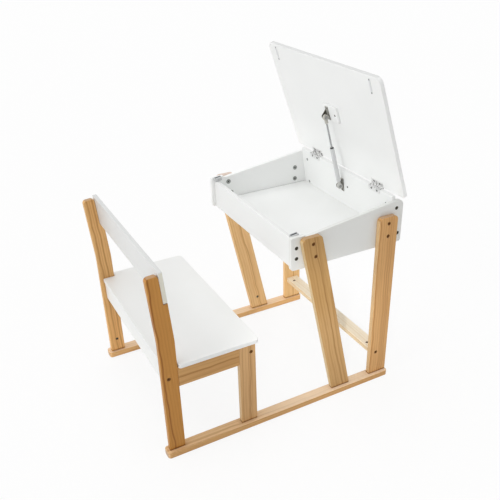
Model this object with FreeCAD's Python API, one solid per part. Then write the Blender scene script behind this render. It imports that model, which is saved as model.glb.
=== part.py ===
import FreeCAD, Part
import math
import os

# A child's lift-lid school desk with its bench, joined by two floor runners.
# X runs across the desk, Y from the bench to the desk, Z up. Lengths are millimetres, angles degrees.

# Floor runners
overall_width = 607.0
runner_length = 800.0
runner_width = 38.0
runner_height = 20.0
runner_corner = 10.0

# Pine stock of the legs
leg_thickness = 18.0
leg_inset = 11.5
pine_easing = 2.0

# Bench posts, which lean back above the seat
post_start = 10.5
post_width = 48.0
post_knee_height = 400.0
post_knee_radius = 260.0
post_lean = 3.9
post_upper_length = 209.0
post_top_radius = 11.0

# Bench front legs, side rails and aprons
seat_leg_start = 247.5
seat_leg_width = 53.0
rail_height = 64.5
apron_thickness = 13.0
apron_height = 64.5
rear_apron_setback = 13.0
front_apron_setback = 8.0
apron_bolt_share = 0.55

# Seat board and backrest board
seat_height = 321.0
seat_thickness = 13.0
seat_side_overhang = 7.5
seat_front_overhang = 10.0
seat_post_gap = 2.0
seat_rear_inset = 9.5
seat_corner = 14.0
seat_notch_corner = 3.0
backrest_thickness = 12.0
backrest_height = 98.0
backrest_rise = 9.0
backrest_corner = 7.0
board_easing = 1.5

# Desk legs
desk_leg_width = 67.0
desk_leg_overlap = 102.0
desk_leg_corner = 14.0
front_leg_lean = 12.0
desk_leg_spread = 149.5
back_leg_margin = 37.0

# Footrest bar between the back legs
footrest_width = 46.0
footrest_thickness = 18.0
footrest_height = 114.0
footrest_setback = 3.0
footrest_bolt_shift = 8.0

# Tray under the lid, with sloping sides
tray_front = 431.0
tray_back = 827.0
tray_bottom = 497.0
tray_board = 13.0
tray_slope = 7.43
side_front_height = 92.2
side_front_corner = 10.0
side_back_corner = 20.0
side_bottom_corner = 8.0
ear_length = 46.0
ear_height = 105.0
ear_run = 4.0
ear_corner = 4.0
front_panel_setback = 12.0
front_panel_height = 93.0
back_panel_height = 147.0
floor_rise = 13.0
floor_thickness = 9.0
floor_groove = 6.0

# Lid, measured from its rear edge
lid_side_overhang = 9.0
lid_depth = 387.0
lid_thickness = 13.0
lid_front_corner = 20.0
lid_rear_corner = 9.0
lid_front_overhang = 11.2
lid_side_gap = 14.0
lid_swing = 78.5

# Hinges, each a flat lid leaf and a leaf that wraps over the back panel
hinge_end_margin = 89.0
hinge_length = 58.0
hinge_leaf = 1.2
hinge_leaf_gap = 0.4
hinge_knuckle_radius = 2.6
hinge_pin_radius = 1.4
hinge_lid_leaf_width = 19.0
hinge_drop = 15.0
hinge_leaf_corner = 3.0
hinge_screw_spacing = 29.0
hinge_lid_screw = 11.0
hinge_panel_screw = 7.0
hinge_knuckle_share = 0.34

# Gas strut, measured along its own line from the lower pivot
strut_offset = -4.0
strut_lower_drop = 55.0
strut_upper_along = 200.0
strut_stand = 14.0
strut_cylinder_start = 20.0
strut_cylinder_length = 122.0
strut_cylinder_radius = 7.0
strut_cylinder_wall = 1.2
strut_cylinder_base = 4.0
strut_gland_length = 7.0
strut_gland_proud = 2.0
strut_rod_radius = 3.0
strut_piston_length = 8.0
strut_piston_gap = 4.0
strut_eye_thickness = 8.0
strut_eye_radius = 9.0
strut_eye_neck_radius = 5.5
strut_rod_socket = 8.0
strut_stud_radius = 3.0
strut_clip_radius = 5.0
strut_clip_thickness = 1.2

# Strut brackets, a bent plate at each end, the pad that carries the upper one, and a lone panel screw
bracket_sheet = 2.0
bracket_width = 14.0
bracket_length = 46.0
bracket_ear_root = 28.0
bracket_ear_nose = 7.0
bracket_nose_share = 0.95
bracket_ear_gap = 1.6
bracket_screw_spacing = 34.0
upper_mount_rise = 8.0
pad_width = 74.0
pad_length = 54.0
pad_thickness = 8.0
pad_corner = 4.0
pad_shift = 10.0
pad_screw_spacing = 50.0
panel_screw_shift = 25.0

# Magnetic catches inside the ears, and their strike plates under the lid
catch_length = 26.0
catch_width = 14.0
catch_height = 13.0
catch_corner = 2.0
catch_pole_length = 22.0
catch_pole_width = 7.0
catch_pole_depth = 3.0
catch_screw_share = 0.7
strike_length = 47.0
strike_width = 7.0
strike_thickness = 1.2
strike_along = 355.5
strike_screw_margin = 4.0
strike_end_share = 0.45

# Bolts with cross dowels and flanged inserts
bolt_radius = 3.0
bolt_head_radius = 6.0
bolt_head_height = 5.0
bolt_recess = 1.0
bolt_socket_radius = 2.8
bolt_socket_depth = 3.0
bolt_tip = 2.0
nut_radius = 5.0
nut_distance = 32.0
nut_inset = 0.4
nut_slot_width = 1.2
nut_slot_depth = 1.5
nut_wall = 1.6
foot_nut_rise = 48.0
back_foot_shift = 12.0
insert_flange_radius = 8.0
insert_flange_thickness = 1.5
insert_sleeve_radius = 4.6
insert_sleeve_length = 10.0
leg_bolt_shares = (0.38, 0.79)
front_panel_bolt_shares = (0.40, 0.76)
back_panel_bolt_shares = (0.24, 0.83)

# Countersunk screws and dowels
screw_radius = 1.6
screw_head_radius = 3.4
screw_head_height = 1.8
screw_length = 9.5
screw_cross_width = 0.9
screw_cross_depth = 0.9
small_screw_radius = 1.1
small_screw_head_radius = 2.1
small_screw_head_height = 1.0
small_screw_length = 7.0
dowel_radius = 4.0
rail_dowel_length = 30.0
board_dowel_length = 22.0
board_dowel_bite = 9.0
rail_dowel_shares = (0.28, 0.74)
backrest_dowel_shares = (0.28, 0.72)
seat_dowel_share = 0.5

# Clearances
fit = 0.1
running_fit = 0.05
moving_gap = 0.3
hole_end_gap = 0.5
catch_gap = 0.3
overrun = 1.0


def vec(x, y, z):
    return FreeCAD.Vector(x, y, z)


along_x = vec(1, 0, 0)
up = vec(0, 0, 1)


# Places worked out from the driving dimensions
leg_outer = overall_width / 2 - leg_inset
leg_inner = leg_outer - leg_thickness
leg_middle = (leg_outer + leg_inner) / 2
post_front = post_start + post_width
seat_leg_end = seat_leg_start + seat_leg_width
seat_underside = seat_height - seat_thickness
tray_inner = leg_inner - tray_board
desk_leg_top = tray_bottom + desk_leg_overlap
back_leg_centre = runner_length - back_leg_margin
front_leg_foot = back_leg_centre - desk_leg_spread
footrest_centre = back_leg_centre - footrest_setback
hinge_centre = tray_inner - hinge_end_margin
slope = math.radians(tray_slope)
lid_down = vec(0, math.sin(slope), -math.cos(slope))
lid_forward = vec(0, -math.cos(slope), -math.sin(slope))
lid_rear_y = tray_front - lid_front_overhang + lid_depth * math.cos(slope)
lid_front_height = tray_bottom + side_front_height + lid_side_gap
lid_rear_z = lid_front_height + (lid_rear_y - tray_front) * math.tan(slope)
hinge_gap = 2 * hinge_leaf + hinge_leaf_gap
lean = math.radians(post_lean)
post_up = vec(0, -math.sin(lean), math.cos(lean))
post_forward = vec(0, math.cos(lean), math.sin(lean))
post_knee = vec(0, post_front, post_knee_height)


def lid_point(x, along, below):
    """A point of the shut lid: along it from its rear edge, and below its underside."""
    return vec(x, lid_rear_y, lid_rear_z) + lid_forward * along + lid_down * below


hinge_axis = lid_point(0, 0, hinge_gap / 2)


def box(x0, x1, y0, y1, z0, z1):
    return Part.makeBox(x1 - x0, y1 - y0, z1 - z0, vec(x0, y0, z0))


def rod(start, end, radius):
    return Part.makeCylinder(radius, (end - start).Length, start, end - start)


def outline(corners, radii):
    """A closed flat wire through the corners, each rounded to its own radius."""
    stops = []
    for place, corner in enumerate(corners):
        before = (corners[place - 1] - corner).normalize()
        after = (corners[(place + 1) % len(corners)] - corner).normalize()
        half_angle = before.getAngle(after) / 2
        inward = (before + after).normalize()
        reach = radii[place] / math.tan(half_angle)
        depth = radii[place] / math.sin(half_angle) - radii[place]
        stops.append((corner + before * reach, corner + inward * depth, corner + after * reach))
    edges = []
    for place, (arc_start, arc_middle, arc_end) in enumerate(stops):
        if radii[place] > 0:
            edges.append(Part.Arc(arc_start, arc_middle, arc_end).toShape())
        edges.append(Part.LineSegment(arc_end, stops[(place + 1) % len(stops)][0]).toShape())
    return Part.Wire(edges)


def slab(corners, radii, depth):
    return Part.Face(outline(corners, radii)).extrude(depth)


def eased_slab(corners, radii, depth, easing):
    """A board whose two faces have softly rounded rims."""
    board = slab(corners, radii, depth)
    across = vec(depth.x, depth.y, depth.z).normalize()
    rims = []
    for edge in board.Edges:
        heights = [(vertex.Point - corners[0]).dot(across) for vertex in edge.Vertexes]
        if max(heights) - min(heights) < depth.Length / 2:
            rims.append(edge)
    return board.makeFillet(easing, rims)


def upright(outline_yz, radii, x0, x1, easing):
    """A board standing across X, from its outline in Y and Z."""
    corners = [vec(x0, y, z) for y, z in outline_yz]
    return eased_slab(corners, radii, vec(x1 - x0, 0, 0), easing)


def placed(shape, point, direction):
    """A copy of a shape made along +Z at the origin, set at a point and turned to a direction."""
    copy = shape.copy()
    copy.Placement = FreeCAD.Placement(point, FreeCAD.Rotation(up, direction))
    return copy


def mirrored(shape):
    return shape.mirror(vec(0, 0, 0), along_x)


def both_sides(shapes):
    return shapes + [mirrored(shape) for shape in shapes]


def opened(shape):
    """A piece of the lid, swung from shut to its open rest."""
    copy = shape.copy()
    copy.rotate(hinge_axis, along_x, -lid_swing)
    return copy


def drilled(shape, *kinds):
    """A piece with the holes of the fixings that reach it."""
    holes = [hole for kind in kinds for hole in kind.holes if hole.BoundBox.intersect(shape.BoundBox)]
    return shape.cut(holes)


# Fasteners, made along +Z with their seat at the origin

def make_bolt(length):
    """A socket-head bolt: the head below its seat, the shank above it."""
    head = rod(vec(0, 0, -bolt_head_height), vec(0, 0, 0), bolt_head_radius)
    shank = rod(vec(0, 0, 0), vec(0, 0, length), bolt_radius)
    turns = [math.radians(60 * side) for side in range(6)]
    socket_corners = [vec(math.cos(turn), math.sin(turn), 0) * bolt_socket_radius for turn in turns]
    socket_floor = vec(0, 0, -bolt_head_height)
    hexagon = slab([socket_floor + corner for corner in socket_corners], [0] * 6, up * bolt_socket_depth)
    return head.fuse(shank).removeSplitter().cut(hexagon)


def make_bolt_hole(length):
    bore = rod(vec(0, 0, -bolt_head_height), vec(0, 0, length + hole_end_gap), bolt_radius + fit)
    sink_start = vec(0, 0, -bolt_head_height - bolt_recess - overrun)
    sink = rod(sink_start, vec(0, 0, 0), bolt_head_radius + fit)
    return bore.fuse(sink)


def make_nut(length, bolt_level):
    """A cross dowel nut lying along +Z from its open end, bored across for its bolt."""
    body = rod(vec(0, 0, 0), vec(0, 0, length), nut_radius)
    reach = nut_radius + overrun
    thread = rod(vec(-reach, 0, bolt_level), vec(reach, 0, bolt_level), bolt_radius + running_fit)
    half_slot = nut_slot_width / 2
    slot = box(-half_slot, half_slot, -reach, reach, -overrun, nut_slot_depth)
    return body.cut([thread, slot])


def make_nut_hole(length):
    start = vec(0, 0, -nut_inset - overrun)
    return rod(start, vec(0, 0, length + hole_end_gap), nut_radius + fit)


def make_screw(head_radius, head_height, radius, length):
    """A countersunk screw, flush at the origin, with a cross recess."""
    head = Part.makeCone(head_radius, radius, head_height)
    shank = rod(vec(0, 0, 0), vec(0, 0, length), radius)
    half = screw_cross_width / 2
    arm = head_radius / 2 + half
    cross = box(-arm, arm, -half, half, -overrun, screw_cross_depth)
    other_arm = box(-half, half, -arm, arm, -overrun, screw_cross_depth)
    return head.fuse(shank).removeSplitter().cut([cross, other_arm])


def make_screw_hole(head_radius, head_height, radius, length):
    spread = (head_radius - radius) / head_height
    wide = head_radius + fit + overrun * spread
    sink = Part.makeCone(wide, radius + fit, head_height + overrun, vec(0, 0, -overrun))
    return sink.fuse(rod(vec(0, 0, 0), vec(0, 0, length + hole_end_gap), radius + fit))


screw_sizes = (screw_head_radius, screw_head_height, screw_radius, screw_length)
small_head_sizes = (small_screw_head_radius, small_screw_head_height)
small_screw_sizes = small_head_sizes + (small_screw_radius, small_screw_length)
screw = make_screw(*screw_sizes)
screw_hole = make_screw_hole(*screw_sizes)
small_screw = make_screw(*small_screw_sizes)
small_screw_hole = make_screw_hole(*small_screw_sizes)


class Fixings:
    """Fasteners of one kind, gathered with the holes that they need."""

    def __init__(self):
        self.pieces = []
        self.holes = []

    def add(self, piece, hole, point, direction):
        self.pieces.append(placed(piece, point, direction))
        self.holes.append(placed(hole, point, direction))

    def mirror(self):
        self.pieces = both_sides(self.pieces)
        self.holes = both_sides(self.holes)


def group(fixings):
    return Part.makeCompound(fixings.pieces)


def nut_length_in(thickness):
    return thickness - nut_wall - nut_inset


def nut_level_in(thickness):
    return thickness / 2 - nut_inset


head_depth = bolt_recess + bolt_head_height
nut_bite = nut_radius + bolt_tip

# Upright bolts from under the runners, with cross dowels in the feet
front_leg_slope = math.tan(math.radians(front_leg_lean))


def front_leg_centre(height):
    return front_leg_foot - (height - runner_height) * front_leg_slope


foot_nut_height = runner_height + foot_nut_rise
foot_bolt_length = foot_nut_height + nut_bite - head_depth
foot_nut_length = nut_length_in(leg_thickness)
foot_bolt = make_bolt(foot_bolt_length)
foot_bolt_hole = make_bolt_hole(foot_bolt_length)
foot_nut = make_nut(foot_nut_length, nut_level_in(leg_thickness))
foot_nut_hole = make_nut_hole(foot_nut_length)
foot_places = [
    post_start + post_width / 2,
    seat_leg_start + seat_leg_width / 2,
    front_leg_centre(foot_nut_height),
    back_leg_centre + back_foot_shift,
]
foot_bolts = Fixings()
foot_nuts = Fixings()
for y in foot_places:
    foot_bolts.add(foot_bolt, foot_bolt_hole, vec(leg_middle, y, head_depth), up)
    foot_nuts.add(foot_nut, foot_nut_hole, vec(leg_inner + nut_inset, y, foot_nut_height), along_x)
foot_bolts.mirror()
foot_nuts.mirror()

# Bolts through the desk legs into flanged inserts in the tray sides
leg_bolt_seat = leg_outer - head_depth
leg_bolt_length = leg_bolt_seat - tray_inner
leg_bolt = make_bolt(leg_bolt_length)
leg_bolt_hole = make_bolt_hole(leg_bolt_length)
insert_end = vec(0, 0, insert_sleeve_length)
insert_flange = rod(vec(0, 0, -insert_flange_thickness), vec(0, 0, 0), insert_flange_radius)
insert_sleeve = rod(vec(0, 0, 0), insert_end, insert_sleeve_radius)
insert_bore = rod(vec(0, 0, -insert_flange_thickness), insert_end, bolt_radius + running_fit)
insert = insert_flange.fuse(insert_sleeve).removeSplitter().cut(insert_bore)
insert_hole_end = vec(0, 0, insert_sleeve_length + hole_end_gap)
insert_hole = rod(vec(0, 0, -overrun), insert_hole_end, insert_sleeve_radius + fit)
leg_bolts = Fixings()
leg_inserts = Fixings()
for share in leg_bolt_shares:
    z = tray_bottom + share * desk_leg_overlap
    for y in (front_leg_centre(z), back_leg_centre):
        leg_bolts.add(leg_bolt, leg_bolt_hole, vec(leg_bolt_seat, y, z), -along_x)
        leg_inserts.add(insert, insert_hole, vec(tray_inner, y, z), along_x)
leg_bolts.mirror()
leg_inserts.mirror()

# Corner bolts through the tray sides into the front and back panels, with cross dowels
panel_front_face = tray_front + front_panel_setback
panel_inner_face = panel_front_face + tray_board
corner_bolt_seat = leg_inner - head_depth
corner_nut_x = tray_inner - nut_distance
corner_bolt_length = corner_bolt_seat - corner_nut_x + nut_bite
corner_bolt = make_bolt(corner_bolt_length)
corner_bolt_hole = make_bolt_hole(corner_bolt_length)
corner_nut_length = nut_length_in(tray_board)
corner_nut = make_nut(corner_nut_length, nut_level_in(tray_board))
corner_nut_hole = make_nut_hole(corner_nut_length)
tray_bolts = Fixings()
tray_nuts = Fixings()
for share in front_panel_bolt_shares:
    z = tray_bottom + share * front_panel_height
    bolt_place = vec(corner_bolt_seat, panel_front_face + tray_board / 2, z)
    tray_bolts.add(corner_bolt, corner_bolt_hole, bolt_place, -along_x)
    nut_place = vec(corner_nut_x, panel_inner_face - nut_inset, z)
    tray_nuts.add(corner_nut, corner_nut_hole, nut_place, vec(0, -1, 0))
for share in back_panel_bolt_shares:
    below = hinge_gap + share * back_panel_height
    bolt_place = lid_point(corner_bolt_seat, tray_board / 2, below)
    tray_bolts.add(corner_bolt, corner_bolt_hole, bolt_place, -along_x)
    nut_place = lid_point(corner_nut_x, tray_board - nut_inset, below)
    tray_nuts.add(corner_nut, corner_nut_hole, nut_place, -lid_forward)
tray_bolts.mirror()
tray_nuts.mirror()

# Bolts through the bench legs into the aprons, and through the back legs into the footrest bar
cross_bolt_length = leg_bolt_seat - leg_inner + nut_distance + nut_bite
cross_bolt = make_bolt(cross_bolt_length)
cross_bolt_hole = make_bolt_hole(cross_bolt_length)
cross_nut_x = leg_inner - nut_distance
apron_nut_length = nut_length_in(apron_thickness)
apron_nut = make_nut(apron_nut_length, nut_level_in(apron_thickness))
apron_nut_hole = make_nut_hole(apron_nut_length)
apron_bottom = seat_underside - apron_height
apron_bolt_height = apron_bottom + apron_bolt_share * apron_height
rear_apron_back = post_start + rear_apron_setback
rear_apron_front = rear_apron_back + apron_thickness
front_apron_front = seat_leg_end - front_apron_setback
front_apron_back = front_apron_front - apron_thickness
cross_bolts = Fixings()
apron_nuts = Fixings()
for y in (rear_apron_back, front_apron_back):
    bolt_place = vec(leg_bolt_seat, y + apron_thickness / 2, apron_bolt_height)
    cross_bolts.add(cross_bolt, cross_bolt_hole, bolt_place, -along_x)
rear_nut_place = vec(cross_nut_x, rear_apron_front - nut_inset, apron_bolt_height)
front_nut_place = vec(cross_nut_x, front_apron_back + nut_inset, apron_bolt_height)
apron_nuts.add(apron_nut, apron_nut_hole, rear_nut_place, vec(0, -1, 0))
apron_nuts.add(apron_nut, apron_nut_hole, front_nut_place, vec(0, 1, 0))
apron_nuts.mirror()

footrest_nut_length = nut_length_in(footrest_thickness)
footrest_nut = make_nut(footrest_nut_length, nut_level_in(footrest_thickness))
footrest_nuts = Fixings()
footrest_bolt_y = footrest_centre - footrest_bolt_shift
footrest_bolt_place = vec(leg_bolt_seat, footrest_bolt_y, footrest_height - footrest_thickness / 2)
footrest_nut_place = vec(cross_nut_x, footrest_bolt_y, footrest_height - nut_inset)
cross_bolts.add(cross_bolt, cross_bolt_hole, footrest_bolt_place, -along_x)
footrest_nuts.add(footrest_nut, make_nut_hole(footrest_nut_length), footrest_nut_place, -up)
cross_bolts.mirror()
footrest_nuts.mirror()

# Dowels: along the side rails, behind the backrest and under the seat


def make_dowel(length):
    return rod(vec(0, 0, 0), vec(0, 0, length), dowel_radius)


def make_dowel_hole(length):
    return rod(vec(0, 0, -hole_end_gap), vec(0, 0, length + hole_end_gap), dowel_radius + fit)


rail_dowel = make_dowel(rail_dowel_length)
rail_dowel_hole = make_dowel_hole(rail_dowel_length)
board_dowel = make_dowel(board_dowel_length)
board_dowel_hole = make_dowel_hole(board_dowel_length)
rail_bottom = seat_underside - rail_height
rail_dowels = Fixings()
for share in rail_dowel_shares:
    for joint in (post_front, seat_leg_start):
        dowel_start = vec(leg_middle, joint - rail_dowel_length / 2, rail_bottom + share * rail_height)
        rail_dowels.add(rail_dowel, rail_dowel_hole, dowel_start, vec(0, 1, 0))
rail_dowels.mirror()

backrest_top = post_upper_length + backrest_rise
backrest_start = backrest_top - backrest_height
board_dowels = Fixings()
for share in backrest_dowel_shares:
    rise = post_up * (backrest_start + share * backrest_height)
    dowel_start = post_knee + rise + post_forward * (board_dowel_bite - backrest_thickness)
    board_dowels.add(board_dowel, board_dowel_hole, vec(leg_middle, 0, 0) + dowel_start, -post_forward)
rail_dowel_y = post_front + seat_dowel_share * (seat_leg_start - post_front)
leg_dowel_y = seat_leg_start + seat_dowel_share * seat_leg_width
for y in (rail_dowel_y, leg_dowel_y):
    dowel_start = vec(leg_middle, y, seat_underside + board_dowel_bite)
    board_dowels.add(board_dowel, board_dowel_hole, dowel_start, -up)
board_dowels.mirror()

# Runner
runner_outer = overall_width / 2
runner_inner = runner_outer - runner_width
runner_corners = [
    vec(runner_inner, 0, 0),
    vec(runner_outer, 0, 0),
    vec(runner_outer, runner_length, 0),
    vec(runner_inner, runner_length, 0),
]
runner = eased_slab(runner_corners, [runner_corner] * 4, up * runner_height, pine_easing)
runner = drilled(runner, foot_bolts)

# Bench post with its rebate for the backrest
rebate_foot = post_knee + post_up * backrest_start
rebate_back = rebate_foot - post_forward * backrest_thickness
post_top = rebate_back + post_up * (post_upper_length - backrest_start)
post_back_top = post_top - post_forward * (post_width - backrest_thickness)
post_back_knee = post_knee_height - post_width * math.tan(lean / 2)
post_outline = [
    (post_start, runner_height),
    (post_front, runner_height),
    (post_front, post_knee_height),
    (rebate_foot.y, rebate_foot.z),
    (rebate_back.y, rebate_back.z),
    (post_top.y, post_top.z),
    (post_back_top.y, post_back_top.z),
    (post_start, post_back_knee),
]
post_radii = [0, 0, post_knee_radius + post_width, 0, 0, post_top_radius, post_top_radius, post_knee_radius]
post = upright(post_outline, post_radii, leg_inner, leg_outer, pine_easing)
post = drilled(post, foot_bolts, foot_nuts, cross_bolts, rail_dowels, board_dowels)

# Backrest board, flush in the rebates
backrest_edge = post_up * backrest_start
backrest_rim = post_up * backrest_top
backrest_corners = [
    vec(-leg_outer, 0, 0) + post_knee + backrest_edge,
    vec(leg_outer, 0, 0) + post_knee + backrest_edge,
    vec(leg_outer, 0, 0) + post_knee + backrest_rim,
    vec(-leg_outer, 0, 0) + post_knee + backrest_rim,
]
backrest_depth = post_forward * -backrest_thickness
backrest = eased_slab(backrest_corners, [backrest_corner] * 4, backrest_depth, board_easing)
backrest = drilled(backrest, board_dowels)

# Bench front leg and side rail


def straight_board(y0, y1, z0, z1):
    corners = [(y0, z0), (y1, z0), (y1, z1), (y0, z1)]
    return upright(corners, [0] * 4, leg_inner, leg_outer, pine_easing)


seat_leg = straight_board(seat_leg_start, seat_leg_end, runner_height, seat_underside)
seat_leg = drilled(seat_leg, foot_bolts, foot_nuts, cross_bolts, rail_dowels, board_dowels)
side_rail = straight_board(post_front, seat_leg_start, rail_bottom, seat_underside)
side_rail = drilled(side_rail, rail_dowels, board_dowels)

# Aprons across the bench, under the seat


def cross_panel(half_width, y0, thickness, z0, z1):
    """A board standing across the desk, its faces square to Y."""
    face = [(-half_width, z0), (half_width, z0), (half_width, z1), (-half_width, z1)]
    corners = [vec(x, y0, z) for x, z in face]
    return eased_slab(corners, [0] * 4, vec(0, thickness, 0), board_easing)


rear_apron = cross_panel(leg_inner, rear_apron_back, apron_thickness, apron_bottom, seat_underside)
rear_apron = drilled(rear_apron, cross_bolts, apron_nuts)
front_apron = cross_panel(leg_inner, front_apron_back, apron_thickness, apron_bottom, seat_underside)
front_apron = drilled(front_apron, cross_bolts, apron_nuts)

# Seat board, with a tongue that runs back between the posts
seat_half = leg_outer + seat_side_overhang
seat_tongue = leg_inner - seat_post_gap
seat_rear = post_start + seat_rear_inset
seat_notch = post_front + seat_post_gap
seat_front = seat_leg_end + seat_front_overhang
seat_plan = [
    (-seat_half, seat_notch),
    (-seat_half, seat_front),
    (seat_half, seat_front),
    (seat_half, seat_notch),
    (seat_tongue, seat_notch),
    (seat_tongue, seat_rear),
    (-seat_tongue, seat_rear),
    (-seat_tongue, seat_notch),
]
seat_radii = [seat_corner / 2, seat_corner, seat_corner, seat_corner / 2] + [seat_notch_corner] * 4
seat_corners = [vec(x, y, seat_underside) for x, y in seat_plan]
seat = eased_slab(seat_corners, seat_radii, up * seat_thickness, board_easing)
seat = drilled(seat, board_dowels)

# Desk legs
front_leg_half = desk_leg_width / math.cos(math.radians(front_leg_lean)) / 2
front_leg_top = front_leg_centre(desk_leg_top)
front_leg_outline = [
    (front_leg_foot - front_leg_half, runner_height),
    (front_leg_foot + front_leg_half, runner_height),
    (front_leg_top + front_leg_half, desk_leg_top),
    (front_leg_top - front_leg_half, desk_leg_top),
]
desk_leg_radii = [0, 0, desk_leg_corner, desk_leg_corner]
front_leg = upright(front_leg_outline, desk_leg_radii, leg_inner, leg_outer, pine_easing)
front_leg = drilled(front_leg, foot_bolts, foot_nuts, leg_bolts)
back_leg_front = back_leg_centre - desk_leg_width / 2
back_leg_back = back_leg_centre + desk_leg_width / 2
back_leg_outline = [
    (back_leg_front, runner_height),
    (back_leg_back, runner_height),
    (back_leg_back, desk_leg_top),
    (back_leg_front, desk_leg_top),
]
back_leg = upright(back_leg_outline, desk_leg_radii, leg_inner, leg_outer, pine_easing)
back_leg = drilled(back_leg, foot_bolts, foot_nuts, leg_bolts, cross_bolts)

# Footrest bar
footrest_front = footrest_centre - footrest_width / 2
footrest_back = footrest_centre + footrest_width / 2
footrest_bottom = footrest_height - footrest_thickness
footrest_corners = [
    vec(-leg_inner, footrest_front, footrest_bottom),
    vec(leg_inner, footrest_front, footrest_bottom),
    vec(leg_inner, footrest_back, footrest_bottom),
    vec(-leg_inner, footrest_back, footrest_bottom),
]
footrest = eased_slab(footrest_corners, [0] * 4, up * footrest_thickness, pine_easing)
footrest = drilled(footrest, cross_bolts, footrest_nuts)

# Catches on the inner faces of the ears
catch_top = strike_thickness + catch_gap
catch_inner = tray_inner - catch_width
catch_middle = tray_inner - catch_width / 2
catch_rear = strike_along - catch_length / 2
catch_front = strike_along + catch_length / 2


def lid_box(x0, x1, along0, along1, below0, below1):
    """A square block set out on the shut lid."""
    corners = [lid_point(x0, along0, below0), lid_point(x0, along1, below0)]
    corners += [lid_point(x0, along1, below1), lid_point(x0, along0, below1)]
    return slab(corners, [0] * 4, vec(x1 - x0, 0, 0))


def lid_plate(x0, x1, along0, along1, below0, below1, radii):
    """A plate on the shut lid, its plan corners rounded."""
    plan = [(x0, along0), (x1, along0), (x1, along1), (x0, along1)]
    corners = [lid_point(x, along, below0) for x, along in plan]
    return slab(corners, radii, lid_down * (below1 - below0))


catch_screw_length = catch_width + tray_board * catch_screw_share
catch_screw_sizes = (screw_head_radius, screw_head_height, screw_radius, catch_screw_length)
catch_screws = Fixings()
catch_screw_level = catch_top + (catch_pole_depth + catch_height) / 2
catch_screw_place = lid_point(catch_inner, strike_along, catch_screw_level)
catch_screw = make_screw(*catch_screw_sizes)
catch_screws.add(catch_screw, make_screw_hole(*catch_screw_sizes), catch_screw_place, along_x)
catch_screws.mirror()
catch_radii = [catch_corner, 0, 0, catch_corner]
catch = lid_plate(
    catch_inner, tray_inner, catch_rear, catch_front, catch_top, catch_top + catch_height, catch_radii
)


def catch_pole(clearance):
    half_width = catch_pole_width / 2 + clearance
    half_length = catch_pole_length / 2 + clearance
    x0 = catch_middle - half_width
    x1 = catch_middle + half_width
    pole_rear = strike_along - half_length
    pole_front = strike_along + half_length
    return lid_box(x0, x1, pole_rear, pole_front, catch_top, catch_top + catch_pole_depth)


pole = catch_pole(0)
catch = drilled(catch.cut(catch_pole(fit)), catch_screws)

# Tray floor, let into grooves all round
floor_bottom = tray_bottom + floor_rise
floor_top = floor_bottom + floor_thickness
panel_foot = lid_point(0, tray_board, 0)
floor_middle = floor_bottom + floor_thickness / 2
floor_back = panel_foot.y + (panel_foot.z - floor_middle) * math.tan(slope) + floor_groove
floor_half = tray_inner + floor_groove
floor_front = panel_inner_face - floor_groove
tray_floor = box(-floor_half, floor_half, floor_front, floor_back, floor_bottom, floor_top)

# Tray side with a raised ear at its front


def side_rim(y):
    return tray_bottom + side_front_height + (y - tray_front) * math.tan(slope)


ear_end = tray_front + ear_length
ear_foot = ear_end + ear_run
side_outline = [
    (tray_front, tray_bottom),
    (tray_back, tray_bottom),
    (tray_back, side_rim(tray_back)),
    (ear_foot, side_rim(ear_foot)),
    (ear_end, tray_bottom + ear_height),
    (tray_front, tray_bottom + ear_height),
]
side_radii = [side_front_corner, side_bottom_corner, side_back_corner, ear_corner, ear_corner, ear_corner]
tray_side = upright(side_outline, side_radii, tray_inner, leg_inner, board_easing).cut(tray_floor)
tray_side = drilled(tray_side, leg_bolts, leg_inserts, tray_bolts, catch_screws)

# Tray front panel
front_panel_top = tray_bottom + front_panel_height
front_panel = cross_panel(tray_inner, panel_front_face, tray_board, tray_bottom, front_panel_top)
front_panel = drilled(front_panel.cut(tray_floor), tray_bolts, tray_nuts)

# Hinges
knuckle_middle = hinge_length * hinge_knuckle_share / 2
knuckle_outer = knuckle_middle + moving_gap
hinge_half = hinge_length / 2


def hinge_rod(x0, x1, radius):
    middle = hinge_axis + vec(hinge_centre, 0, 0)
    return rod(middle + vec(x0, 0, 0), middle + vec(x1, 0, 0), radius)


hinge_x0 = hinge_centre - hinge_half
hinge_x1 = hinge_centre + hinge_half
knuckle_sweep = hinge_knuckle_radius + moving_gap
knuckle_room = hinge_rod(-hinge_half - moving_gap, hinge_half + moving_gap, knuckle_sweep)
hinge_bore = hinge_rod(-hinge_half - overrun, hinge_half + overrun, hinge_pin_radius + running_fit)
hinge_pin = hinge_rod(-hinge_half, hinge_half, hinge_pin_radius)

wrap_end = tray_board + hinge_leaf
wrap_top = hinge_gap - hinge_leaf
wrap_foot = hinge_gap + hinge_drop
over_edge = lid_box(hinge_x0, hinge_x1, 0, wrap_end, wrap_top, hinge_gap)
down_plan = [(hinge_x0, wrap_top), (hinge_x1, wrap_top), (hinge_x1, wrap_foot), (hinge_x0, wrap_foot)]
down_corners = [lid_point(x, tray_board, below) for x, below in down_plan]
down_face = slab(down_corners, [0, 0, hinge_leaf_corner, hinge_leaf_corner], lid_forward * hinge_leaf)
frame_leaf = over_edge.fuse(down_face)
frame_leaf = frame_leaf.fuse(hinge_rod(-hinge_half, -knuckle_outer, hinge_knuckle_radius))
frame_leaf = frame_leaf.fuse(hinge_rod(knuckle_outer, hinge_half, hinge_knuckle_radius)).removeSplitter()
frame_leaf = frame_leaf.cut(hinge_rod(-knuckle_outer, knuckle_outer, knuckle_sweep)).cut(hinge_bore)

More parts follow.
